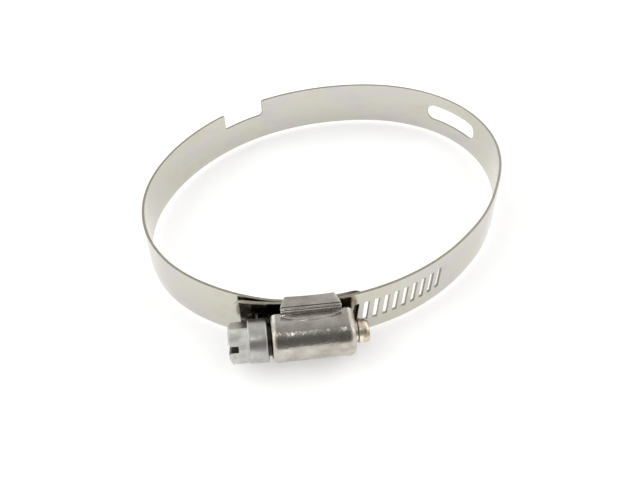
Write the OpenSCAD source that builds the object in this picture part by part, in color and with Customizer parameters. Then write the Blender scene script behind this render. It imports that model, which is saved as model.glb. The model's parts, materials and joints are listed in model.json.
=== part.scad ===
// Worm-drive hose clamp with a perforated band, standing open and slightly oval.
// Frame: the hose axis is Z, the mid-height of the band is Z = 0, the screw lies along X on the -Y side.
// Turning the screw clockwise, seen from its head, draws the tail out past the head and closes the ring.

/* [Band] */
// Width of the band
band_w = 12.7; // [12:0.1:13.5]
// Thickness of the band
band_t = 0.65; // [0.5:0.05:0.7]
// Gap between the two layers of band inside the housing
layer_gap = 0.1; // [0.08:0.01:0.15]
// Distance from the housing's middle to the tip of the tail
tail_tip_s = 17.2; // [14:0.2:20]
// Distance from the housing's middle to the end of the tongue
tongue_s = 12.4; // [9:0.2:12.6]
// Radius on the corners of both band ends
end_corner_r = 2.4; // [1:0.1:4]

/* [Ring shape] */
// Mean radius of the band's centreline
ring_r = 45; // [44:0.1:46]
// How oval the ring stands, as a share of its radius
oval = 0.1; // [0.09:0.002:0.11]
// Direction of the long axis of the oval
oval_dir = 31; // [29:0.5:33]
// How egg-shaped the ring stands, as a share of its radius
egg = 0.011; // [0:0.001:0.012]
// Direction of the pointed side of the egg
egg_dir = 39.5; // [36:0.5:43]
// How square the ring stands, as a share of its radius
square_off = 0.0125; // [0:0.0005:0.014]
// Direction of one corner of the square
square_dir = 26.5; // [24:0.5:29]
// Radius of the bend where the band leaves the saddle
bend_r = 16; // [14:0.5:20]
// How far the band turns in that bend
bend_turn = 14; // [10:0.5:16]

/* [Thread slots] */
// Pitch of the screw and of the slots along the band
pitch = 2.54; // [2.5:0.01:2.6]
// Slots between the housing's middle and the tip of the tail
slots_to_tip = 5; // [4:1:5]
// Slots between the housing's middle and the plain band
slots_to_band = 13; // [10:1:14]
// Width of one slot, along the band
slot_w = 1.2; // [1.1:0.05:1.3]
// Height of one slot, across the band
slot_h = 6; // [5:0.1:7]

/* [Cut-outs] */
// Width of the notch in the upper edge
notch_w = 13.1; // [8:0.1:15]
// Depth of the notch
notch_d = 4.75; // [2:0.05:6]
// Length of the long slot
long_slot_l = 18.2; // [12:0.1:19]
// Height of the long slot
long_slot_h = 4.8; // [3:0.1:6]

/* [Housing] */
// Length of the housing
house_l = 18.5; // [18:0.1:18.6]
// Outside radius of the dome over the worm
dome_r = 5.3; // [5.25:0.05:5.4]
// Wall thickness of the housing and the saddle
wall = 0.65; // [0.55:0.05:0.65]
// Distance from the screw axis to the outer face of the tail
axis_to_band = 4.075; // [4.05:0.025:4.15]

/* [Screw] */
// Hexagon head across flats
head_af = 8; // [7:0.1:8.2]
// Length of the hexagon head
head_l = 4.3; // [3:0.1:5]
// Radius of the collar behind the head
collar_r = 4.9; // [4.6:0.05:4.9]
// Length of the collar
collar_l = 4.2; // [2:0.05:5]
// Outside radius of the thread
thread_r = 4.55; // [4.4:0.05:4.6]
// Radius of the rounded tip
tip_r = 2.75; // [2:0.05:3]

/* [Hidden] */
eps = 0.01;

// Where the housing's middle and the tail's centreline stand
house_x = -9.5;
channel_y = -44.2;

// Directions, seen from the hose axis, at which the band bends: the ends of the links.
// The first is the end of the head, the last is the start of the tail.
bend_at = [244.5, 216, 180, 143, 101, 58, 12, -15, -43.5];
links = len(bend_at) - 1;
notch_link = 4;
notch_dir = 121.5;
long_slot_link = 6;
long_slot_dir = 34;
long_slot_z = 0.45;
// Radial gap on each side of the round knuckle between two links
knuckle_gap = 0.03;
// The bend is a hair thinner than the straight part and runs on into it, so that the two join cleanly
bend_lap = 0.5;
bend_step = 0.01;

function ring_radius(a) = ring_r * (1 + oval * cos(2 * (a - oval_dir))
  + egg * cos(3 * (a - egg_dir)) + square_off * cos(4 * (a - square_dir)));
function ring_point(a) = ring_radius(a) * [cos(a), sin(a)];
function angle_of(v) = atan2(v.y, v.x);
function turn(a) = a < 0 ? a + 360 : a >= 360 ? a - 360 : a;

// The tail slides round inside the housing, so it is one true arc. It touches the screw's direction
// at the housing's middle and meets the ring at the last bend.
tail_start = ring_point(bend_at[links]);
tail_dx = tail_start.x - house_x;
tail_dy = tail_start.y - channel_y;
tail_r = (tail_dx * tail_dx + tail_dy * tail_dy) / (2 * tail_dy);
arc_c = [house_x, channel_y + tail_r];
screw_y = channel_y - band_t / 2 - axis_to_band;

// The head lies just inside the tail, on the same centre, and then bends inwards to meet the ring.
head_r = tail_r - band_t - layer_gap;
head_straight_s = 6.6;
function along(s) = -90 + s / tail_r * 180 / PI;
bend_a0 = along(-head_straight_s);
bend_a1 = bend_a0 - bend_turn;
bend_c = arc_c + (head_r - bend_r) * [cos(bend_a0), sin(bend_a0)];
head_end = bend_c + bend_r * [cos(bend_a1), sin(bend_a1)];

// Ends of the links, and the centre of the arc through a link's two ends and its middle
function hinge(i) = i == 0 ? head_end : ring_point(bend_at[i]);
function cross2(a, b) = a.x * b.y - a.y * b.x;
function arc_centre(p, m, q) =
  let (a = m - p, b = q - p, d = 2 * cross2(a, b))
  p + [b.y * (a * a) - a.y * (b * b), a.x * (b * b) - b.x * (a * a)] / d;
function link_centre(i) =
  arc_centre(hinge(i - 1), ring_point((bend_at[i - 1] + bend_at[i]) / 2), hinge(i));

steel = [0.78, 0.77, 0.74];
bright = [0.7, 0.69, 0.66];
brass_tint = [0.74, 0.66, 0.52];

// A stretch of band on the arc about c, from angle a0 anticlockwise to a1
module strip(c, r, a0, a1, t = band_t, h = band_w)
  translate([c.x, c.y, -h / 2]) rotate([0, 0, a0]) rotate_extrude(angle = turn(a1 - a0), $fn = 720)
    translate([r - t / 2, 0]) square([t, h]);

// The round knuckles: a full round on the far link, in a hollow on the near one
module knuckle(p) translate([p.x, p.y, 0])
  cylinder(r = band_t / 2 - knuckle_gap, h = band_w - 2 * knuckle_gap, center = true, $fn = 48);
module hollow(p) translate([p.x, p.y, 0])
  cylinder(r = band_t / 2 + knuckle_gap, h = 2 * band_w, center = true, $fn = 48);

// A frame on the arc about arc_c: X outwards, Y along the band towards +X, Z up
module on_arc(s, r) translate(arc_c) rotate([0, 0, along(s)]) translate([r, 0, 0]) children();

// Takes the two square corners off a band end at s; side is 1 for an end that points to +s.
// The rounding is a hair too big for its corner, so that it crosses both edges instead of grazing them.
module end_corners(s, r, side)
  on_arc(s, r)
    for (up = [-1, 1])
      difference() {
        translate([-2, side > 0 ? -end_corner_r : -1, up > 0 ? band_w / 2 - end_corner_r : -band_w / 2 - 1])
          cube([4, end_corner_r + 1, end_corner_r + 1]);
        translate([-3, -side * end_corner_r, up * (band_w / 2 - end_corner_r)]) rotate([0, 90, 0])
          cylinder(r = end_corner_r + 0.02, h = 6, $fn = 64);
      }

module band_head() color(steel)
  difference() {
    union() {
      strip(arc_c, head_r, bend_a0, along(tongue_s));
      strip(bend_c, bend_r, bend_a1, bend_a0 + bend_lap, band_t - 2 * bend_step, band_w - 2 * bend_step);
    }
    hollow(head_end);
    end_corners(tongue_s, head_r, 1);
  }

module notch_cut() {
  r = ring_radius(notch_dir);
  rotate([0, 0, notch_dir]) translate([r - 5, -notch_w / 2, band_w / 2 - notch_d])
    cube([10, notch_w, notch_d + 1]);
}

module long_slot_cut() {
  straight = long_slot_l - long_slot_h;
  rotate([0, 0, long_slot_dir]) translate([ring_radius(long_slot_dir) - 10, 0, long_slot_z]) {
    translate([0, -straight / 2, -long_slot_h / 2]) cube([20, straight, long_slot_h]);
    for (end = [-1, 1])
      translate([0, end * straight / 2, 0]) rotate([0, 90, 0]) cylinder(d = long_slot_h, h = 20, $fn = 64);
  }
}

module band_link(i) {
  c = link_centre(i);
  r = norm(hinge(i) - c);
  color(steel) difference() {
    union() {
      strip(c, r, angle_of(hinge(i) - c), angle_of(hinge(i - 1) - c));
      knuckle(hinge(i - 1));
    }
    hollow(hinge(i));
    if (i == notch_link) notch_cut();
    if (i == long_slot_link) long_slot_cut();
  }
}

// Slots lean with the thread: the lead angle at the middle of the thread's depth
thread_mid_r = axis_to_band + band_t / 2;
lead = atan(pitch / (2 * PI * thread_mid_r));
slot_phase = 0.1;

module band_tail() color(steel)
  difference() {
    union() {
      strip(arc_c, tail_r, along(-tail_tip_s), angle_of(tail_start - arc_c));
      knuckle(tail_start);
    }
    end_corners(-tail_tip_s, tail_r, -1);
    for (k = [-slots_to_tip : slots_to_band])
      on_arc(slot_phase + k * pitch, tail_r) rotate([-lead, 0, 0])
        cube([3 * band_t, slot_w, slot_h], center = true);
  }

// Local frame of the screw: Z along the screw from its head, Y towards the hose
module on_screw() translate([house_x, screw_y, 0]) rotate([0, 90, 0]) children();

// Half profile of a drum with rolled edges
module drum(r, l, edge_r) {
  translate([0, -l / 2]) square([r - edge_r, l]);
  translate([0, edge_r - l / 2]) square([r, l - 2 * edge_r]);
  for (end = [-1, 1]) translate([r - edge_r, end * (l / 2 - edge_r)]) circle(edge_r, $fn = 64);
}

roll_r = 1.2;
lip_bore_r = 3.7;
// How far the dome's straight sides run past the screw's axis, towards the hose
dome_side = 2.5;
bead_r = 0.66;
bead_y = 1.95;
bead_z = 6.3;
ear_l_out = 13.4;
ear_l_in = 10.9;
ear_gap = 0.1;
ear_z = band_w / 2 + ear_gap;
// The sheet folded out from the dome's side to the bead, as [across, towards the hose] from the screw's axis
flange = [[5.2, 0.1], [5.6, 1.1], [6.05, 1.5], [6.35, 2.5], [6.2, 3.3], [5.9, 3.5], [5.2, 2.9]];
function on_side(outline, side) = [for (p = outline) [side * p.x, p.y]];

// Half of the dome's section along the screw: its sheet, hemmed inwards at both ends
module dome_profile() difference() {
  drum(dome_r, house_l, roll_r);
  intersection() {
    drum(dome_r - wall, house_l - 2 * wall, roll_r - wall);
    translate([0, -house_l]) square([dome_r, 2 * house_l]);
  }
  translate([-1, -house_l]) square([lip_bore_r + 1, 2 * house_l]);
}

module housing() color(bright) on_screw() {
  difference() {
    rotate_extrude($fn = 128) dome_profile();
    translate([-2 * dome_r, 0, -house_l]) cube([4 * dome_r, 2 * dome_r, 2 * house_l]);
  }
  for (side = [0, 1]) mirror([side, 0, 0])
    translate([0, dome_side, 0]) rotate([90, 0, 0]) linear_extrude(dome_side) dome_profile();
  for (side = [-1, 1]) {
    translate([side * bead_z, bead_y, -ear_l_out / 2]) cylinder(r = bead_r, h = ear_l_out, $fn = 48);
    translate([0, 0, -ear_l_out / 2]) linear_extrude(ear_l_out) polygon(on_side(flange, side));
  }
}

saddle_gap = 0.03;
// How far the ends of the saddle's curved floor stand off from its middle
saddle_dip = 0.2;
saddle_out_r = head_r - band_t / 2 - saddle_gap;
// Distance from the screw's axis to the lower edge of the ears, just past the middle of the saddle's floor
ear_foot_y = axis_to_band + 2 * band_t + layer_gap + saddle_gap + saddle_dip + wall / 2;

module saddle() color(bright) {
  half_in = ear_l_in / 2;
  strip(arc_c, saddle_out_r - wall / 2, along(-half_in), along(half_in), wall, 2 * (ear_z + wall));
  for (up = [-1, 1])
    translate([house_x, screw_y, up > 0 ? ear_z : -ear_z - wall]) linear_extrude(wall)
      polygon([[-ear_l_out / 2, bead_y + bead_r], [ear_l_out / 2, bead_y + bead_r],
        [half_in, ear_foot_y], [-half_in, ear_foot_y]]);
}

collar_x = -9.9;
root_r = 3.45;
ridge_in_r = root_r - 0.05;
neck_r = 3.6;
neck_l = 2.6;
thread_l = 13.2;
// Plain shank past each end of the thread
shank_run = 1;
crest_w = 0.6;
root_w = 1.4;
thread_steps = 36;
tip_end = 12.5;
// The button on the tip stands on a slimmer neck
tip_neck_r = 2.45;
tip_neck_x = 7;
button_x = 9.95;
tip_round = 0.9;
driver_w = 1.5;
driver_d = 2.2;
// Direction of the driver slot and of a corner of the hexagon, about the screw, from +Y towards +Z
driver_dir = 150;
head_corner_dir = 149;
collar_edge = 0.35;
// How far the head runs into the collar, so that the two are one solid
head_join = 0.5;

// The worm's thread: a right-hand ridge, trapezoid in section, swept along the helix.
// It is a node of its own, sunk a little into the shank, so that the shank keeps true round faces.
module screw_thread() color(brass_tint) {
  turns = thread_l / pitch;
  n = ceil(turns * thread_steps);
  section = [
    [ridge_in_r, -root_w / 2], [thread_r, -crest_w / 2],
    [thread_r, crest_w / 2], [ridge_in_r, root_w / 2]];
  points = [
    for (i = [0 : n])
      let (a = (i / n - 0.5) * turns * 360, x = slot_phase + a / 360 * pitch)
        for (p = section) [house_x + x + p[1], screw_y + p[0] * cos(a), p[0] * sin(a)]];
  faces = concat(
    [[0, 1, 2], [0, 2, 3]],
    [for (i = [0 : n - 1]) for (j = [0 : 3])
      let (k = (j + 1) % 4) each [[4 * i + j, 4 * i + 4 + j, 4 * i + k], [4 * i + 4 + j, 4 * i + 4 + k, 4 * i + k]]],
    [[4 * n + 2, 4 * n + 1, 4 * n], [4 * n + 3, 4 * n + 2, 4 * n]]);
  polyhedron(points, faces);
}

module screw() color(bright)
  on_screw() {
    translate([0, 0, -thread_l / 2 - shank_run]) cylinder(r = root_r, h = thread_l + 2 * shank_run, $fn = 96);
    translate([0, 0, collar_x - 0.1]) cylinder(r = neck_r, h = neck_l + 0.1, $fn = 96);
    translate([0, 0, tip_neck_x]) cylinder(r = tip_neck_r, h = button_x - tip_neck_x + tip_round, $fn = 96);
    translate([0, 0, button_x]) cylinder(r = tip_r, h = tip_end - tip_round - button_x, $fn = 96);
    translate([0, 0, tip_end - tip_round]) cylinder(r1 = tip_r, r2 = tip_r - tip_round, h = tip_round, $fn = 96);
    translate([0, 0, collar_x - collar_l]) cylinder(r = collar_r, h = collar_l - collar_edge, $fn = 96);
    translate([0, 0, collar_x - collar_edge])
      cylinder(r1 = collar_r, r2 = collar_r - collar_edge, h = collar_edge, $fn = 96);
    difference() {
      translate([0, 0, collar_x - collar_l - head_l]) rotate([0, 0, head_corner_dir + 90])
        cylinder(d = head_af / cos(30), h = head_l + head_join, $fn = 6);
      translate([0, 0, collar_x - collar_l - head_l]) rotate([0, 0, driver_dir + 90])
        translate([-10, -driver_w / 2, -1]) cube([20, driver_w, driver_d + 1]);
    }
  }

band_head();
band_link(1);  // band_link_01
band_link(2);  // band_link_02
band_link(3);  // band_link_03
band_link(4);  // band_link_04
band_link(5);  // band_link_05
band_link(6);  // band_link_06
band_link(7);  // band_link_07
band_link(8);  // band_link_08
band_tail();
housing();
saddle();
screw();
screw_thread();
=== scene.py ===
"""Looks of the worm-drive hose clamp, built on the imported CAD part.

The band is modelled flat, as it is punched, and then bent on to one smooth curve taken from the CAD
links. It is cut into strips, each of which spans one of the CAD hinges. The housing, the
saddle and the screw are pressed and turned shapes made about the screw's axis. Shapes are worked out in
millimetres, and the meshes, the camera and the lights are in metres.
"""

import math

import bmesh
import bpy
import numpy as np
from mathutils import Matrix, Vector
from mathutils.geometry import tessellate_polygon
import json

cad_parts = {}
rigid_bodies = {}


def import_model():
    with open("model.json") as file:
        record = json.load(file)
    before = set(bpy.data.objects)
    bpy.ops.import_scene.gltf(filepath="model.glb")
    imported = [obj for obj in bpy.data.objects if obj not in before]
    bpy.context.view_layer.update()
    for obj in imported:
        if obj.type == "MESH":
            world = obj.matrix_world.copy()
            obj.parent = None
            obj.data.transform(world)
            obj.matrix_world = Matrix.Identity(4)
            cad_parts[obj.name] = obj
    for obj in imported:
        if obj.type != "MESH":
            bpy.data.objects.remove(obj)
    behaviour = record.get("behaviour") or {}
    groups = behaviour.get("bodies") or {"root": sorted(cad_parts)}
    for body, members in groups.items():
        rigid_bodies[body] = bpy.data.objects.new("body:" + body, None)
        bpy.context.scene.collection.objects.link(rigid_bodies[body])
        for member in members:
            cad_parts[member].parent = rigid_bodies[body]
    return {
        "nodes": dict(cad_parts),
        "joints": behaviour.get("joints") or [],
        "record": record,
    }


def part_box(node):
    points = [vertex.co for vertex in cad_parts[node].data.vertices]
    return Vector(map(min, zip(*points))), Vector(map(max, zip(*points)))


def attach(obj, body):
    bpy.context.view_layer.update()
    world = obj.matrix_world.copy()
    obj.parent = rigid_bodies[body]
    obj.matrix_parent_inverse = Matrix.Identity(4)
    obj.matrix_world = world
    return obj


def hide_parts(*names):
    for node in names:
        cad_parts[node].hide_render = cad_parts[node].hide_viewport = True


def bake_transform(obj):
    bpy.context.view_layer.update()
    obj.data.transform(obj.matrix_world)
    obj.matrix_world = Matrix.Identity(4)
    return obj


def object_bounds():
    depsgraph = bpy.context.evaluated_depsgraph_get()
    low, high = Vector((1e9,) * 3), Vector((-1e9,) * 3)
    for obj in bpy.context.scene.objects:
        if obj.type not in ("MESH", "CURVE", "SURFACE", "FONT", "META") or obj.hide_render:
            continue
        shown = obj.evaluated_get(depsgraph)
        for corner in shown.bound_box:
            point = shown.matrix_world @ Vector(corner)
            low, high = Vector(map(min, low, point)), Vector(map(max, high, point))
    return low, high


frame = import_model()
cad_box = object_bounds()

MM = 0.001

# ------------------------------------------------------------------ sizes, in millimetres
EDGE_R = 0.09  # rounding of the band's cut edges
END_CORNER_R = 2.4
PITCH = 2.54
SLOTS = range(-5, 14)
SLOT_PHASE = 0.1
SLOT_W, SLOT_H = 1.2, 6.0
SLOT_CORNER_R = 0.16
NOTCH_W, NOTCH_D = 13.1, 4.75
NOTCH_FILLET_R = 1.2
NOTCH_CORNER_R = 0.3
LONG_SLOT_L, LONG_SLOT_H = 18.2, 4.8
HEAD_BEND_S = 6.6  # the head leaves the tail's arc here, behind the housing's middle
TAIL_RIGID_S = 37.5  # from here to its tip the tail keeps its shape
HEAD_RIGID = 1.5  # the first strip starts this far before the first hinge
STEP = 0.9  # length of one facet along the band
OVERLAP = 20  # both ends of the band lie over each other for less than this
PULL_IN = 0.05  # keeps the smooth curve inside the CAD's chain of arcs


# ------------------------------------------------------------------ the band's curve, from the CAD
def node_xy(name):
    return np.array([v.co[:2] for v in frame["nodes"][name].data.vertices]) / MM


def fit_circle(p):
    """Centre and radius of the circle nearest to these points."""
    solved = np.linalg.lstsq(np.c_[2 * p, np.ones(len(p))], (p**2).sum(1), rcond=None)[0]
    centre = solved[:2]
    return centre, math.sqrt(solved[2] + centre @ centre)


def centre_arc(p):
    """Centre, middle radius and thickness of a curved strip, from the points of its two faces."""
    centre, r = fit_circle(p)
    outer = p[np.hypot(*(p - centre).T) > r]
    centre, r_out = fit_circle(outer)
    r_in = np.hypot(*(p - centre).T).min()
    return centre, (r_out + r_in) / 2, r_out - r_in


def away_from(p, points, gap=1.0):
    return p[np.all([np.hypot(*(p - q).T) > gap for q in points], axis=0)]


joints = {j["name"]: j for j in frame["joints"]}
bends = sorted(n for n in joints if n.startswith("bend_"))
hinges = [np.array(joints[n]["pos_m"][:2]) / MM for n in bends]
chain = [joints[bends[0]]["parent"]] + [joints[n]["child"] for n in bends]
links = chain[1:-1]
axis_x, axis_y = np.array(joints["screw_turn"]["pos_m"][:2]) / MM

tail_c, tail_r, band_t = centre_arc(away_from(node_xy("band_tail"), [hinges[-1]]))
head_p = node_xy("band_head")
head_d = np.hypot(*(head_p[head_p[:, 0] > axis_x - 3] - tail_c).T)
head_r = (head_d.max() + head_d.min()) / 2
band_w = (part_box("band_tail")[1].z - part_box("band_tail")[0].z) / MM


def on_arc(s, r):
    """The point at s along the tail, counted from the housing's middle towards +X, at this radius."""
    a = -math.pi / 2 + s / tail_r
    return tail_c + r * np.array([math.cos(a), math.sin(a)])


def s_of(x, y):
    return (math.atan2(y - tail_c[1], x - tail_c[0]) + math.pi / 2) * tail_r


def link_middle(i):
    """The middle of a link's centreline."""
    c, r, _ = centre_arc(away_from(node_xy(links[i]), [hinges[i], hinges[i + 1]]))
    ends = hinges[i] + hinges[i + 1] - 2 * c
    return c + (r - PULL_IN) * ends / np.hypot(*ends)


TAIL_TIP_S = max(
    -s_of(*p) for p in node_xy("band_tail") if p[1] < tail_c[1] and p[0] < axis_x
)
TONGUE_S = max(s_of(*p) for p in head_p)
tail_start_s = s_of(*hinges[-1])


def curve_points():
    """Points along the band's centreline: from the end of the tongue, round the ring, to the tail's tip."""
    head = [on_arc(s, head_r) for s in np.linspace(TONGUE_S, -HEAD_BEND_S, 10)]
    ring = [hinges[0]]
    for i in range(len(links)):
        ring += [link_middle(i), hinges[i + 1]]
    tail = [on_arc(s, tail_r) for s in np.linspace(tail_start_s - 3, -TAIL_TIP_S, 26)]
    return np.array(head + ring + tail)


def second_derivatives(t, p):
    """Of the natural cubic spline through the points p at the parameters t."""
    h = np.diff(t)
    m, rhs = np.eye(len(t)), np.zeros_like(p)
    for i in range(1, len(t) - 1):
        m[i, i - 1 : i + 2] = h[i - 1], 2 * (h[i - 1] + h[i]), h[i]
        rhs[i] = 6 * ((p[i + 1] - p[i]) / h[i] - (p[i] - p[i - 1]) / h[i - 1])
    return np.linalg.solve(m, rhs)


def smooth_curve(p, per_span=60):
    """The spline through p: lengths along it, places and directions, at many close steps."""
    t = np.r_[0, np.cumsum(np.hypot(*np.diff(p, axis=0).T))]
    k = second_derivatives(t, p)
    places, slopes = [], []
    for i in range(len(t) - 1):
        h, last = t[i + 1] - t[i], i == len(t) - 2
        x = np.linspace(0, 1, per_span, endpoint=last)[:, None] * h
        a, b = p[i], (p[i + 1] - p[i]) / h - h * (2 * k[i] + k[i + 1]) / 6
        places.append(a + b * x + k[i] * x**2 / 2 + (k[i + 1] - k[i]) * x**3 / (6 * h))
        slopes.append(b + k[i] * x + (k[i + 1] - k[i]) * x**2 / (2 * h))
    places, slopes = np.concatenate(places), np.concatenate(slopes)
    length = np.r_[0, np.cumsum(np.hypot(*np.diff(places, axis=0).T))]
    return length, places, np.unwrap(np.arctan2(slopes[:, 1], slopes[:, 0]))


curve_u, curve_xy, curve_dir = smooth_curve(curve_points())
band_l = curve_u[-1]


def u_of(x, y):
    """How far along the band the nearest point of its curve is, the overlap at the housing left out."""
    ring = (curve_u > OVERLAP) & (curve_u < band_l - OVERLAP)
    d = np.hypot(curve_xy[:, 0] - x, curve_xy[:, 1] - y)
    return curve_u[ring][np.argmin(d[ring])]


def u_of_tail(s):
    return band_l - (s + TAIL_TIP_S)


def u_of_head(s):
    return TONGUE_S - s


def place(u, v, w):
    """From flat (along, up, out) to the ring: points, and the band's direction there."""
    x, y, a = (np.interp(u, curve_u, c) for c in (curve_xy[:, 0], curve_xy[:, 1], curve_dir))
    return np.c_[x - np.sin(a) * w, y + np.cos(a) * w, v], a


# ------------------------------------------------------------------ flat shapes
def corner(c, r, a0, a1, steps=6):
    """Points of a corner's arc about c, in degrees."""
    return [
        (c[0] + r * math.cos(math.radians(a)), c[1] + r * math.sin(math.radians(a)))
        for a in np.linspace(a0, a1, steps)
    ]


def box_outline(cx, cy, lx, ly, r, tilt=0.0, steps=4):
    """A rounded box, clockwise, as a hole is."""
    out = []
    for sx, sy, a in ((1, 1, 90), (1, -1, 0), (-1, -1, -90), (-1, 1, -180)):
        out += corner((sx * (lx / 2 - r), sy * (ly / 2 - r)), r, a, a - 90, steps)
    ct, st = math.cos(tilt), math.sin(tilt)
    return [(cx + x * ct - y * st, cy + x * st + y * ct) for x, y in out]


def band_outline(notch_u):
    """The band's outer edge, anticlockwise, with the notch in its upper edge."""
    h, r = band_w / 2, END_CORNER_R
    left, right, floor = notch_u - NOTCH_W / 2, notch_u + NOTCH_W / 2, h - NOTCH_D
    f, c = NOTCH_FILLET_R, NOTCH_CORNER_R
    out = corner((r, -h + r), r, 180, 270, 12) + corner((band_l - r, -h + r), r, 270, 360, 12)
    out += corner((band_l - r, h - r), r, 0, 90, 12)
    out += corner((right + c, h - c), c, 90, 180)
    out += corner((right - f, floor + f), f, 0, -90, 8)
    out += corner((left + c, floor + c), c, 270, 180)
    out += corner((left - c, h - c), c, 0, 90)
    return out + corner((r, h - r), r, 90, 180, 12)


def inset(outline, by):
    """The outline moved to its left by this much."""
    p = np.array(outline)
    e = np.roll(p, -1, 0) - p
    n = np.c_[-e[:, 1], e[:, 0]] / np.hypot(*e.T)[:, None]
    m = n + np.roll(n, 1, 0)
    return p + by * m * (2 / (m**2).sum(1))[:, None]


def slab(outlines, t, edge):
    """A flat plate with holes and rounded edges, as a bmesh in (along, up, -out)."""
    bm = bmesh.new()
    quarter = np.radians((0, 30, 60, 90))
    turn = [(edge * (1 - math.sin(a)), t / 2 - edge * (1 - math.cos(a))) for a in quarter]
    rings = turn + [(i, -z) for i, z in reversed(turn)]
    loops = [
        [[bm.verts.new((x, y, z)) for x, y in inset(o, i)] for i, z in rings] for o in outlines
    ]
    for rows in loops:
        n = len(rows[0])
        for a, b in zip(rows, rows[1:]):
            for j in range(n):
                k = (j + 1) % n
                bm.faces.new((a[j], b[j], b[k], a[k]))
    for at, flip in ((0, False), (-1, True)):
        flat = [v for rows in loops for v in rows[at]]
        tris = tessellate_polygon([[v.co.copy() for v in rows[at]] for rows in loops])
        for tri in tris:
            f = [flat[i] for i in tri]
            if len(set(f)) == 3 and (f[1].co - f[0].co).cross(f[2].co - f[0].co).length > 1e-9:
                up = (f[1].co - f[0].co).cross(f[2].co - f[0].co).z > 0
                bm.faces.new(f if up != flip else f[::-1])
    return bm


def cut_strip(whole, u0, u1):
    """The part of the slab from u0 to u1, closed, and sliced so that it can bend."""
    bm = whole.copy()

    def cut(u, **clear):
        geom = bm.verts[:] + bm.edges[:] + bm.faces[:]
        bmesh.ops.bisect_plane(bm, geom=geom, dist=1e-5, plane_co=(u, 0, 0), plane_no=(1, 0, 0), **clear)

    for u, clear in ((u0, {"clear_inner": True}), (u1, {"clear_outer": True})):
        if 0 < u < band_l:
            cut(u, **clear)
            rim = [e for e in bm.edges if len(e.link_faces) == 1]
            bmesh.ops.holes_fill(bm, edges=rim, sides=0)
    for u in np.linspace(u0, u1, max(2, round((u1 - u0) / STEP)) + 1)[1:-1]:
        cut(u)
    bmesh.ops.recalc_face_normals(bm, faces=bm.faces[:])
    return bm


def corner_normals(bm, limit=math.radians(50)):
    """One normal for each face corner: flat faces keep theirs, rounded edges are smooth."""
    near = math.cos(limit)
    out = []
    for f in bm.faces:
        flat = abs(f.normal.z) > 0.999
        for v in f.verts:
            n = f.normal
            if not flat:
                around = [g.normal for g in v.link_faces if g.normal.dot(f.normal) > near]
                level = [g for g in around if abs(g.z) > 0.999]
                n = level[0] if level else sum(around, Vector()).normalized()
            out.append(n.copy())
    return np.array(out)


def bent_mesh(name, bm):
    """The strip bent on to the curve, in metres, with its flat layout as its UV map."""
    bm.verts.index_update()
    bm.normal_update()
    normals = corner_normals(bm)
    flat = np.array([v.co for v in bm.verts])
    mesh = bpy.data.meshes.new(name)
    bm.to_mesh(mesh)
    bm.free()
    xyz, a = place(flat[:, 0], flat[:, 1], -flat[:, 2])
    at = np.array([mesh.loops[i].vertex_index for i in range(len(mesh.loops))])
    uv = mesh.uv_layers.new(name="strip")
    inside = np.array([p.normal.z > 0.5 for p in mesh.polygons for _ in p.loop_indices])
    laid = flat[at, :2] / 100
    laid[:, 1] += inside  # the inner face lies apart from the outer one on the map
    uv.data.foreach_set("uv", laid.ravel())
    mesh.vertices.foreach_set("co", (xyz * MM).ravel())
    c, s = np.cos(a[at]), np.sin(a[at])
    nu, nv, nw = normals[:, 0], normals[:, 1], -normals[:, 2]
    mesh.polygons.foreach_set("use_smooth", [True] * len(mesh.polygons))
    mesh.normals_split_custom_set(np.c_[nu * c - nw * s, nu * s + nw * c, nv].tolist())
    mesh.update()
    return mesh


# ------------------------------------------------------------------ shapes about the screw's axis
# In (along the screw from the housing's middle, up, towards the hose)
HOUSE_L, DOME_R, WALL, ROLL_R, LIP_R = 18.5, 5.3, 0.65, 1.5, 3.72
DOME_SIDE = 2.5  # the dome's straight sides run this far past the screw's axis
DOME_WAIST = 0.1  # the dome is a little slimmer between its rolled ends
SWELL_FROM = 0.82  # share of the way to a rolled end where the dome starts to widen
BEAD_UP, BEAD_OUT, BEAD_R, EAR_L, EAR_NECK_L = 6.45, 2.35, 0.6, 13.3, 10.9
BEAD_END, BEAD_END_SLIM = 0.25, 0.86  # the bead's ends are rounded off over this length, to this share
# The seam where the flange leaves the dome droops in its middle; the flange is flat up to its shelf's end
ROOT_MIDDLE, ROOT_END, SHELF_END = 0.05, 1.7, 1.95
SHELF_UPS = (5.32, 5.36, 5.42, 5.5)
FLANGE_BACK = [(6.3, 3.3), (5.9, 3.5), (5.3, 2.9), (4.9, 2.3)]
EAR_FOOT = 2.75  # the ears start here, on the beads
EAR_EDGE_R = 0.2
EAR_UP = 6.775  # middle of the ear's thickness
FLOOR_OUT = 5.83  # middle of the saddle's floor
FOLD_R = 0.75
FOLD_START = FLOOR_OUT - FOLD_R
HEAD_AF, HEAD_X, COLLAR_R, COLLAR_X0, COLLAR_X1 = 8.0, -18.4, 4.88, -14.1, -9.9
HEAD_CORNER, DRIVER_DIR = 149, 150
HEAD_JOIN = 0.4  # the head runs this far into the collar
DRIVER_W, DRIVER_D, DRIVER_MOUTH, DRIVER_FLARE = 1.5, 2.2, 2.5, 0.5
AROUND = 144
PAINTED_SHADE_S = (-15.9, 9.6)  # the length of the tail given painted shade and dark reflection, counted from the housing's middle


def on_axis(points):
    """From (along, up, towards the hose) to the frame, still in millimetres."""
    p = np.asarray(points, float).reshape(-1, 3)
    return np.c_[axis_x + p[:, 0], axis_y + p[:, 2], p[:, 1]]


def tube(bm, rows, ends=True):
    """A closed skin through rings of points, with a flat cap on each end."""
    made = [[bm.verts.new(p) for p in row] for row in rows]
    n = len(made[0])
    for a, b in zip(made, made[1:]):
        for j in range(n):
            bm.faces.new((a[j], a[(j + 1) % n], b[(j + 1) % n], b[j]))
    if ends:
        bm.faces.new(made[0][::-1])
        bm.faces.new(made[-1])


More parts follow.
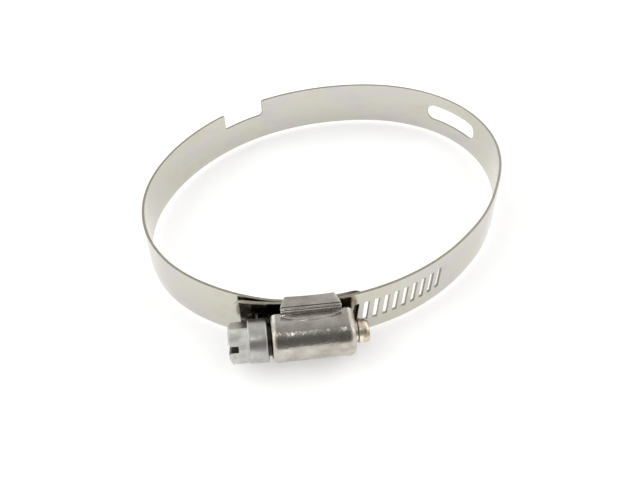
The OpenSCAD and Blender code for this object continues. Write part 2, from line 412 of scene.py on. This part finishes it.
def lathe(bm, profile, steps=AROUND):
    """A turned solid: its profile is (along, radius) from one end to the other."""
    rows = []
    for x, r in profile:
        a = np.linspace(0, 2 * math.pi, steps, endpoint=False)
        rows.append(on_axis(np.c_[np.full(steps, x), r * np.sin(a), r * np.cos(a)]))
    tube(bm, rows)


def mesh_of(name, bm, sharp=35):
    bmesh.ops.recalc_face_normals(bm, faces=bm.faces[:])
    bmesh.ops.scale(bm, vec=(MM, MM, MM), verts=bm.verts[:])
    mesh = bpy.data.meshes.new(name)
    bm.to_mesh(mesh)
    bm.free()
    mesh.polygons.foreach_set("use_smooth", [True] * len(mesh.polygons))
    mesh.set_sharp_from_angle(angle=math.radians(sharp))
    return mesh


def dome_profile():
    """Outline of the dome's sheet as (along, radius): out to a rolled lip, and back along the inside."""

    def half(sign):
        out = []
        for t in np.linspace(0, 1, 9):
            x = t * (HOUSE_L / 2 - ROLL_R)
            swell = max(0.0, (t - SWELL_FROM) / (1 - SWELL_FROM))
            out.append((x, DOME_R - DOME_WAIST * (1 - swell**2 * (3 - 2 * swell))))
        c = (HOUSE_L / 2 - ROLL_R, DOME_R - ROLL_R)
        hem = math.degrees(math.asin((LIP_R + WALL / 2 - c[1]) / ROLL_R))
        out += corner(c, ROLL_R, 85, hem, 12)
        e = WALL / 2
        out += corner((HOUSE_L / 2 - e, LIP_R + e), e, -20, -160, 6)
        out += corner(c, ROLL_R - WALL, 25, 90, 6)
        out.append((0, DOME_R - WALL - DOME_WAIST / 2))
        return [(sign * x, r) for x, r in out]

    right, left = half(1), half(-1)
    return right + left[-2:0:-1]


def dome(bm):
    """The dome's sheet swept round half a turn, with straight sides on towards the hose."""
    profile = dome_profile()
    side = [(1.0, d) for d in np.linspace(DOME_SIDE, 0.3, 6)]
    bow = [(math.sin(a), -math.cos(a)) for a in np.linspace(math.pi / 2, -math.pi / 2, 91)]
    rows = []
    for up, towards in side + bow + [(-1.0, d) for _, d in reversed(side)]:
        straight = abs(up) == 1.0 and towards > 0.1
        rows.append(on_axis([(x, r * up, towards if straight else r * towards) for x, r in profile]))
    tube(bm, rows)


def flange(bm, side):
    """The folded sheet beside the dome and the bead along its edge."""
    rows = []
    for t in np.linspace(-1, 1, 41):
        x = t * EAR_L / 2
        end = min(1.0, (1 - abs(t)) * EAR_L / 2 / BEAD_END)
        slim = BEAD_END_SLIM + (1 - BEAD_END_SLIM) * math.sqrt(max(0.0, 1 - (1 - end) ** 2))
        root = ROOT_END + (ROOT_MIDDLE - ROOT_END) * math.cos(t * math.pi / 2)
        inner = (FLANGE_BACK[-1][0], root - 0.2)
        out = [inner, *zip(SHELF_UPS, np.linspace(root, SHELF_END, len(SHELF_UPS)))]
        out += corner((BEAD_UP, BEAD_OUT), BEAD_R * slim, -165, 80, 24)
        out += FLANGE_BACK
        rows.append(on_axis([(x, side * a, d) for a, d in out]))
    tube(bm, rows)


def saddle_path():
    """Middle of the sheet in (up, towards the hose), from one ear across the floor to the other."""
    one = [(EAR_UP, d) for d in np.linspace(EAR_FOOT, FOLD_START - 0.05, 8)]
    one += corner((EAR_UP - FOLD_R, FOLD_START), FOLD_R, 0, 90, 9)
    return one + [(a, FLOOR_OUT) for a in (4.0, 2.0, 0.0)]


def saddle(bm):
    """A strip swept along the saddle's path, narrowest at its floor, which curves with the band."""
    half = saddle_path()
    path = half + [(-a, d) for a, d in half[-2::-1]]
    p = np.array(path)
    step = np.gradient(p, axis=0)
    step /= np.hypot(*step.T)[:, None]
    rows = []
    for (a, d), (ta, td) in zip(p, step):
        narrow = min(1.0, max(0.0, (d - EAR_FOOT) / (FLOOR_OUT - EAR_FOOT)))
        half_l = (EAR_L + (EAR_NECK_L - EAR_L) * narrow**1.3) / 2
        e, r, row = WALL / 2, EAR_EDGE_R, []
        for sx, sn, a0 in ((1, 1, 90), (1, -1, 0), (-1, -1, -90), (-1, 1, -180)):
            row += corner((sx * (half_l - r), sn * (e - r)), r, a0, a0 - 90, 4)
            if sx == 1 and sn == -1 or sx == -1 and sn == 1:
                row += [(sx * x, sn * e) for x in np.linspace(half_l - 1, 1 - half_l, 13)]
        pts = []
        for x, n in row:
            bow = (x * x) / (2 * head_r) * min(1.0, max(0.0, (d - FOLD_START) / FOLD_R))
            pts.append((x, a - td * n, d + ta * n + bow))
        rows.append(on_axis(pts))
    tube(bm, rows)


def hexagon_radius(a):
    """Distance from the axis to the hexagon's side in this direction."""
    return HEAD_AF / 2 / math.cos((a - math.radians(HEAD_CORNER)) % (math.pi / 3) - math.pi / 6)


def hexagon_head(bm):
    """A hexagon with its outer corners turned off."""
    rows = []
    angles = np.radians(HEAD_CORNER + np.arange(0, 360, 2.5))
    stations = [(0, 3.55), (0.1, 3.72), (0.25, 3.98), (0.4, 4.24), (0.55, 4.5), (0.65, 4.7)]
    stations += [(x, HEAD_AF) for x in (1.2, 2.4, 3.6, COLLAR_X0 - HEAD_X + HEAD_JOIN)]
    for x, turned in stations:
        row = []
        for a in angles:
            r = min(hexagon_radius(a), turned)
            row.append((HEAD_X + x, r * math.sin(a), r * math.cos(a)))
        rows.append(on_axis(row))
    tube(bm, rows)


def driver_cutter(bm):
    """The slot for a screwdriver, with its mouth spread a little."""
    w, m = DRIVER_W / 2, DRIVER_MOUTH / 2
    one_side = [(-1, m), (0, m), (DRIVER_FLARE, w), (DRIVER_D, w)]
    section = [(x, -across) for x, across in one_side] + one_side[::-1]
    a = math.radians(DRIVER_DIR)
    rows = []
    for along in (-7, 7):
        row = []
        for x, across in section:
            towards = along * math.cos(a) - across * math.sin(a)
            up = along * math.sin(a) + across * math.cos(a)
            row.append((HEAD_X + x, up, towards))
        rows.append(on_axis(row))
    tube(bm, rows)


def cut_from(name, whole, cutter):
    """The first mesh with the second cut out of it."""
    a, b = bpy.data.objects.new("a", whole), bpy.data.objects.new("b", cutter)
    for o in (a, b):
        bpy.context.scene.collection.objects.link(o)
    mod = a.modifiers.new("cut", "BOOLEAN")
    mod.operation, mod.solver, mod.object = "DIFFERENCE", "EXACT", b
    made = bpy.data.meshes.new_from_object(a.evaluated_get(bpy.context.evaluated_depsgraph_get()))
    made.name = name
    for o in (a, b):
        bpy.data.objects.remove(o)
    made.polygons.foreach_set("use_smooth", [True] * len(made.polygons))
    made.set_sharp_from_angle(angle=math.radians(20))
    return made


COLLAR = (
    [(COLLAR_X0, 3.9)]
    + corner((COLLAR_X0 + 0.3, COLLAR_R - 0.3), 0.3, 180, 90)
    + [(-12.4, COLLAR_R), (-11.2, COLLAR_R)]
    + corner((COLLAR_X1 - 0.45, COLLAR_R - 0.45), 0.45, 90, 0, 8)
    + [(COLLAR_X1, 3.75)]
)
NECK = [(-10.3, 3.58), (-7.7, 3.58)]
SHANK = NECK + [(-7.3, 3.45), (7.2, 3.45), (7.7, 3.1), (8.2, 2.5), (9.8, 2.45), (10.05, 2.5)]
TIP = (
    [(9.75, 1.6)]
    + corner((10.2, 2.4), 0.33, 190, 90, 8)
    + [(10.8, 2.74)]
    + corner((11.35, 1.6), 1.15, 90, 12, 12)
    + [(12.48, 1.5), (12.49, 0.9)]
)


# ------------------------------------------------------------------ materials
class Paint:
    """A small helper for one node material."""

    def __init__(self, name):
        self.mat = bpy.data.materials.new(name)
        self.mat.use_nodes = True
        self.nodes, self.links = self.mat.node_tree.nodes, self.mat.node_tree.links
        self.shader = self.nodes["Principled BSDF"]
        self.coords = self.nodes.new("ShaderNodeTexCoord")

    def node(self, kind, **values):
        n = self.nodes.new(kind)
        for k, v in values.items():
            setattr(n, k, v)
        return n

    def noise(self, scale, stretch=(1, 1, 1), detail=4, source="Object", rough=0.55, shift=(0, 0, 0)):
        m = self.node("ShaderNodeMapping")
        m.inputs["Scale"].default_value = stretch
        m.inputs["Location"].default_value = shift
        n = self.node("ShaderNodeTexNoise")
        n.inputs["Scale"].default_value = scale
        n.inputs["Detail"].default_value = detail
        n.inputs["Roughness"].default_value = rough
        self.links.new(self.coords.outputs[source], m.inputs["Vector"])
        self.links.new(m.outputs["Vector"], n.inputs["Vector"])
        return n.outputs["Fac"]

    def ramp(self, value, *stops):
        r = self.node("ShaderNodeValToRGB")
        while len(r.color_ramp.elements) < len(stops):
            r.color_ramp.elements.new(0.5)
        for e, (at, colour) in zip(r.color_ramp.elements, stops):
            e.position = at
            e.color = (*colour, 1) if len(colour) == 3 else (colour[0],) * 3 + (1,)
        self.links.new(value, r.inputs["Fac"])
        return r.outputs["Color"]

    def mix(self, a, b, factor, how="MIX"):
        m = self.node("ShaderNodeMix", data_type="RGBA", blend_type=how)
        for socket, x in ((m.inputs["Factor"], factor), (m.inputs[6], a), (m.inputs[7], b)):
            if isinstance(x, (int, float)):
                socket.default_value = x
            elif isinstance(x, tuple):
                socket.default_value = (*x, 1)
            else:
                self.links.new(x, socket)
        return m.outputs[2]

    def calc(self, how, a, b):
        """A sum that stays between 0 and 1 where it multiplies masks."""
        m = self.node("ShaderNodeMath", operation=how, use_clamp=how == "MULTIPLY")
        for socket, x in zip(m.inputs, (a, b)):
            if isinstance(x, (int, float)):
                socket.default_value = x
            else:
                self.links.new(x, socket)
        return m.outputs[0]

    def spread(self, value, lo, hi, to_lo, to_hi):
        m = self.node("ShaderNodeMapRange", interpolation_type="SMOOTHSTEP")
        for k, v in zip(("From Min", "From Max", "To Min", "To Max"), (lo, hi, to_lo, to_hi)):
            m.inputs[k].default_value = v
        self.links.new(value, m.inputs["Value"])
        return m.outputs["Result"]

    def part(self, source, axis):
        s = self.node("ShaderNodeSeparateXYZ")
        self.links.new(self.coords.outputs[source], s.inputs[0])
        return s.outputs[axis]

    def bump(self, height, strength, distance=0.0001, under=None):
        b = self.node("ShaderNodeBump")
        b.inputs["Strength"].default_value = strength
        b.inputs["Distance"].default_value = distance
        self.links.new(height, b.inputs["Height"])
        if under is not None:
            self.links.new(under, b.inputs["Normal"])
        return b.outputs["Normal"]

    def soft_edges(self, radius):
        b = self.node("ShaderNodeBevel", samples=4)
        b.inputs["Radius"].default_value = radius
        return b.outputs["Normal"]

    def finish(self, colour, roughness, normal, metallic=1.0):
        for name, x in (("Base Color", colour), ("Roughness", roughness), ("Normal", normal)):
            self.links.new(x, self.shader.inputs[name])
        self.shader.inputs["Metallic"].default_value = metallic
        return self.mat


def band_steel():
    """Thin rolled strip: pale warm grey with cloudy tints, faint smudges and fine lengthwise lines."""
    p = Paint("band_steel")
    cloud = p.noise(7, (1, 1.6, 1), 3, "UV")
    beige, greenish = (0.59, 0.56, 0.48), (0.61, 0.60, 0.52)
    pinkish, lilac = (0.61, 0.58, 0.55), (0.575, 0.56, 0.55)
    tint = p.ramp(cloud, (0.3, beige), (0.45, greenish), (0.58, pinkish), (0.72, lilac))
    smudge = p.spread(p.noise(22, (1, 2.5, 1), 6, "UV", 0.7, (3, 1, 0)), 0.56, 0.74, 0.0, 0.35)
    colour = p.mix(tint, (0.50, 0.45, 0.37), smudge)
    # Painted shade and dark reflection: the band's outer face turns near black beside the housing.
    colour = p.mix(colour, (0.035, 0.031, 0.024), painted_housing_shade(p))
    lines = p.noise(900, (0.02, 1, 1), 3, "UV")
    drawn = p.spread(lines, 0.3, 0.7, -0.03, 0.04)
    roughness = p.calc("ADD", p.spread(cloud, 0.3, 0.7, 0.14, 0.22), drawn)
    normal = p.bump(lines, 0.12, 0.00004)
    normal = p.bump(p.noise(9, (1, 0.7, 1), 2, "UV"), 0.35, 0.0004, normal)
    return p.finish(colour, roughness, normal)


def painted_housing_shade(p):
    """Painted shade and dark reflection, near black, on the band's outer face close to the housing."""
    along, up = p.part("UV", "X"), p.calc("ABSOLUTE", p.part("UV", "Y"), 0)
    tip, end = (u_of_tail(s) / 100 for s in PAINTED_SHADE_S)
    before_tip = p.spread(along, tip - 0.004, tip, 1, 0)
    mask = p.calc("MULTIPLY", p.spread(along, end, end + 0.006, 0, 1), before_tip)
    head = u_of_head(PAINTED_SHADE_S[0]) / 100
    mask = p.calc("ADD", mask, p.spread(along, head, head + 0.004, 1, 0))
    mask = p.calc("MULTIPLY", mask, p.spread(up, 0.058, 0.062, 1, 0))
    # Noise breaks up the painted shade.
    patchy = p.spread(p.noise(60, (1, 1, 1), 4, "UV", 0.6, (0, 5, 0)), 0.3, 0.5, 0.7, 1.0)
    return p.calc("MULTIPLY", mask, patchy)


def cut_edge():
    """The sheared edges of the strip: darker and rougher, with painted shade near black at the tongue's
    end.
    """
    p = Paint("band_cut_edge")
    grain = p.noise(4000, (1, 1, 0.3), 3)
    colour = p.ramp(grain, (0.3, (0.30, 0.27, 0.21)), (0.7, (0.46, 0.43, 0.36)))
    # Painted shade: the cut edges at the tongue's end, in the gap under the tail, are made near black.
    colour = p.mix(colour, (0.07, 0.05, 0.035), p.spread(p.part("UV", "X"), 0.02, 0.06, 0.9, 0))
    return p.finish(colour, p.spread(grain, 0.3, 0.7, 0.3, 0.5), p.bump(grain, 0.3, 0.00005))


def pressed_steel():
    """The polished pressing: mottled and a little dented, as a tumbled part is."""
    p = Paint("pressed_steel")
    patch = p.noise(230, (0.7, 1, 1), 5, rough=0.6)
    fine = p.noise(1400, (1, 1, 1), 4, shift=(0.01, 0, 0))
    brown, grey, pale = (0.40, 0.36, 0.31), (0.53, 0.50, 0.45), (0.62, 0.60, 0.55)
    colour = p.ramp(patch, (0.34, brown), (0.5, grey), (0.64, pale))
    colour = p.mix(colour, (0.46, 0.43, 0.37), p.spread(fine, 0.55, 0.75, 0, 0.4))
    roughness = p.calc("ADD", p.spread(patch, 0.35, 0.65, 0.24, 0.16), p.spread(fine, 0.3, 0.7, 0, 0.05))
    normal = p.bump(patch, 0.4, 0.0005, p.soft_edges(0.00012))
    normal = p.bump(fine, 0.15, 0.0001, normal)
    return p.finish(colour, roughness, normal)


def screw_steel():
    """Dull bright plating on the screw: golden brown on its tip, with painted shade, near black, on its
    neck and shank where the housing holds it.
    """
    p = Paint("screw_steel")
    patch = p.noise(420, (1, 1, 1), 4)
    rings = p.noise(5000, (1, 0.02, 0.02), 2)
    bright = p.ramp(patch, (0.35, (0.45, 0.44, 0.41)), (0.65, (0.60, 0.59, 0.55)))
    brown, gold, pale = (0.20, 0.13, 0.07), (0.60, 0.50, 0.36), (0.88, 0.82, 0.72)
    golden = p.ramp(patch, (0.38, brown), (0.48, gold), (0.6, pale))
    along = p.part("Object", "X")
    on_tip = p.spread(along, (axis_x + 7.5) * MM, (axis_x + 9.0) * MM, 0, 1)
    colour = p.mix(bright, golden, on_tip)
    # Painted shade: the neck and shank from the collar to the tip, in and under the housing, are made near
    # black.
    past_collar = p.spread(along, (axis_x + COLLAR_X1 - 0.05) * MM, (axis_x + COLLAR_X1) * MM, 0, 1)
    before_tip = p.spread(along, (axis_x + 8) * MM, (axis_x + 9.2) * MM, 1, 0)
    neck = p.calc("MULTIPLY", past_collar, before_tip)
    colour = p.mix(colour, (0.03, 0.027, 0.022), p.calc("MULTIPLY", neck, 0.95))
    roughness = p.calc("ADD", p.spread(patch, 0.3, 0.7, 0.4, 0.3), p.spread(rings, 0.3, 0.7, 0, 0.05))
    normal = p.bump(rings, 0.15, 0.00005, p.soft_edges(0.00012))
    return p.finish(colour, roughness, p.bump(patch, 0.2, 0.0002, normal))


# ------------------------------------------------------------------ the pieces
def add(name, mesh, slot, *materials):
    obj = bpy.data.objects.new(name, mesh)
    bpy.context.scene.collection.objects.link(obj)
    for m in materials:
        mesh.materials.append(m)
    return obj


def make_band(steel, edge):
    """The band in strips: its two ends ride with their bodies, and each of the rest spans one hinge."""
    middles = [u_of(*link_middle(i)) for i in range(len(links))]
    cuts = [0, u_of(*hinges[0]) - HEAD_RIGID, *middles, u_of_tail(TAIL_RIGID_S), band_l]
    notch = u_of(*mount_at("locating_notch")[:2])
    slot_x, slot_y, slot_z = mount_at("locating_slot")
    long_slot = u_of(slot_x, slot_y)
    lean = math.atan(PITCH / (2 * math.pi * (tail_r_axis() + band_t / 2)))
    round_end = LONG_SLOT_H / 2 - 0.001
    holes = [box_outline(long_slot, slot_z, LONG_SLOT_L, LONG_SLOT_H, round_end, 0, 12)]
    holes += [
        box_outline(u_of_tail(SLOT_PHASE + k * PITCH), 0, SLOT_W, SLOT_H, SLOT_CORNER_R, lean)
        for k in SLOTS
    ]
    whole = slab([band_outline(notch), *holes], band_t, EDGE_R)
    for k, (u0, u1) in enumerate(zip(cuts, cuts[1:])):
        name = "band_tongue" if k == 0 else "band_tip" if k == len(cuts) - 2 else f"band_strip_{k}"
        bm = cut_strip(whole, u0, u1)
        for f in bm.faces:
            f.material_index = 0 if abs(f.normal.z) > 0.9 else 1
        obj = add(name, bent_mesh(name, bm), "band_steel", steel, edge)
        if k == 0:
            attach(obj, chain[0])
            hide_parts("band_head")
        elif k == len(cuts) - 2:
            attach(obj, chain[-1])
            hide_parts("band_tail")
        else:
            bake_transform(obj)
            if k <= len(links):
                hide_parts(links[k - 1])
    whole.free()


def mount_at(name):
    """The place of one of the record's mounts, in millimetres."""
    mount = next(m for m in frame["record"]["mounts"] if m["name"] == name)
    return np.array(mount["pos_m"]) / MM


def tail_r_axis():
    """Distance from the screw's axis to the outer face of the tail, at the housing's middle."""
    return tail_c[1] - tail_r - band_t / 2 - axis_y


def make_housing(steel):
    bm = bmesh.new()
    dome(bm)
    for side in (-1, 1):
        flange(bm, side)
    obj = add("housing_pressing", mesh_of("housing_pressing", bm), "pressed_steel", steel)
    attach(obj, chain[0])
    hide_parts("housing")
    bm = bmesh.new()
    saddle(bm)
    obj = add("saddle_pressing", mesh_of("saddle_pressing", bm), "pressed_steel", steel)
    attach(obj, chain[0])
    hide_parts("saddle")


def painted_slot_shade():
    """The inside of the driver slot: dull, with painted shade near black."""
    p = Paint("driver_slot_painted_shade")
    grain = p.noise(1500, (1, 1, 1), 3)
    # Painted shade: the slot's walls and floor are made near black.
    colour = p.ramp(grain, (0.3, (0.04, 0.035, 0.03)), (0.7, (0.12, 0.11, 0.10)))
    return p.finish(colour, p.spread(grain, 0.3, 0.7, 0.4, 0.55), p.bump(grain, 0.3, 0.0001))


def paint_slot(mesh):
    """Gives the driver slot's walls and floor the mesh's second material."""
    a = math.radians(DRIVER_DIR)
    along, across = np.array([math.cos(a), math.sin(a)]), np.array([-math.sin(a), math.cos(a)])
    for f in mesh.polygons:
        x, towards, up = np.array(f.center) / MM - (axis_x, axis_y, 0)
        n = np.array([f.normal.y, f.normal.z])
        inside = abs(across @ (towards, up)) < DRIVER_MOUTH / 2 + 0.01 and abs(along @ n) < 0.5
        f.material_index = int(inside and HEAD_X + 0.05 < x < HEAD_X + DRIVER_D + 0.01)


def make_screw(steel):
    head, cutter = bmesh.new(), bmesh.new()
    hexagon_head(head)
    driver_cutter(cutter)
    head_mesh = cut_from("screw_head", mesh_of("whole", head), mesh_of("cutter", cutter))
    head_obj = add("screw_head", head_mesh, "screw_steel", steel, painted_slot_shade())
    paint_slot(head_mesh)
    bm = bmesh.new()
    for profile in (COLLAR, SHANK, TIP):
        lathe(bm, profile)
    shank = add("screw_shank", mesh_of("screw_shank", bm), "screw_steel", steel)
    for obj in (head_obj, shank):
        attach(obj, "screw")
    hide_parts("screw")
    thread = frame["nodes"]["screw_thread"]
    thread.data.materials.clear()
    thread.data.materials.append(steel)


# ------------------------------------------------------------------ floor, light and camera
CAMERA_AT = (-18.18, -150.04, 124.74)
CAMERA_LOOK = (0.0761, 0.7238, -0.6858)
CAMERA_ROLL = 1.02
CAMERA_LENS = 40.725
FLOOR_HALF, FLOOR_GAP = 3, 0.0002  # metres


def make_camera():
    data = bpy.data.cameras.new("camera")
    data.lens, data.sensor_width = CAMERA_LENS, 36
    data.clip_start, data.clip_end = 0.005, 20
    cam = bpy.data.objects.new("camera", data)
    bpy.context.scene.collection.objects.link(cam)
    look = Vector(CAMERA_LOOK).normalized()
    turn = look.to_track_quat("-Z", "Y").to_matrix() @ Matrix.Rotation(math.radians(-CAMERA_ROLL), 3, "Z")
    cam.matrix_world = Matrix.Translation(Vector(CAMERA_AT) * MM) @ turn.to_4x4()
    bpy.context.scene.camera = cam


def make_floor():
    lowest = cad_box[0].z
    mesh = bpy.data.meshes.new("floor")
    bm = bmesh.new()
    bmesh.ops.create_grid(bm, x_segments=4, y_segments=4, size=FLOOR_HALF)
    bm.to_mesh(mesh)
    bm.free()
    floor = bpy.data.objects.new("floor", mesh)
    floor.location = (0, 0, lowest - FLOOR_GAP)
    bpy.context.scene.collection.objects.link(floor)
    mat = bpy.data.materials.new("floor")
    mat.use_nodes = True
    shader = mat.node_tree.nodes["Principled BSDF"]
    shader.inputs["Base Color"].default_value = (0.9, 0.9, 0.9, 1)
    shader.inputs["Roughness"].default_value = 0.9
    shader.inputs["Emission Color"].default_value = (1, 1, 1, 1)
    shader.inputs["Emission Strength"].default_value = 0.36
    mesh.materials.append(mat)


def make_world():
    """A soft studio: dim in front, so that the dome mirrors something dark, and bright at the sides."""
    world = bpy.data.worlds.new("studio")
    bpy.context.scene.world = world
    world.use_nodes = True
    nodes, wires = world.node_tree.nodes, world.node_tree.links
    coords = nodes.new("ShaderNodeTexCoord")
    dot = nodes.new("ShaderNodeVectorMath")
    dot.operation = "DOT_PRODUCT"
    dot.inputs[1].default_value = Vector((0.03, -0.82, 0.57)).normalized()
    wires.new(coords.outputs["Generated"], dot.inputs[0])
    shade = nodes.new("ShaderNodeValToRGB")
    stops = ((0.0, 0.62), (0.3, 0.56), (0.55, 0.48), (0.75, 0.24), (1.0, 0.13))
    while len(shade.color_ramp.elements) < len(stops):
        shade.color_ramp.elements.new(0.5)
    for e, (at, value) in zip(shade.color_ramp.elements, stops):
        e.position, e.color = at, (value, value, value, 1)
    wires.new(dot.outputs["Value"], shade.inputs["Fac"])
    wires.new(shade.outputs["Color"], nodes["Background"].inputs["Color"])
    apart = nodes.new("ShaderNodeSeparateXYZ")
    wires.new(coords.outputs["Generated"], apart.inputs[0])
    aside = nodes.new("ShaderNodeMath")
    aside.operation = "ABSOLUTE"
    wires.new(apart.outputs["X"], aside.inputs[0])
    lobes = nodes.new("ShaderNodeMapRange")
    for k, v in (("From Min", 0.14), ("From Max", 0.42), ("To Min", 1.0), ("To Max", 2.2)):
        lobes.inputs[k].default_value = v
    wires.new(aside.outputs[0], lobes.inputs["Value"])
    wires.new(lobes.outputs["Result"], nodes["Background"].inputs["Strength"])


def area_light(name, at, target, size, power):
    data = bpy.data.lights.new(name, "AREA")
    data.shape, data.size, data.size_y, data.energy = "RECTANGLE", size[0], size[1], power
    lamp = bpy.data.objects.new(name, data)
    lamp.location = Vector(at)
    lamp.rotation_euler = (Vector(target) - Vector(at)).to_track_quat("-Z", "Y").to_euler()
    bpy.context.scene.collection.objects.link(lamp)


def make_lights():
    area_light("left", (-0.45, -0.1, 0.35), (0, 0, 0), (0.25, 0.5), 0.3)
    area_light("right", (0.5, -0.15, 0.3), (0, 0, 0), (0.25, 0.5), 0.25)
    area_light("top", (-0.06, -0.25, 0.46), (-0.026, -0.0486, 0), (0.03, 0.14), 0.13)


bpy.context.scene.view_settings.view_transform = "Standard"
make_band(band_steel(), cut_edge())
make_housing(pressed_steel())
make_screw(screw_steel())
make_floor()
make_world()
make_lights()
make_camera()
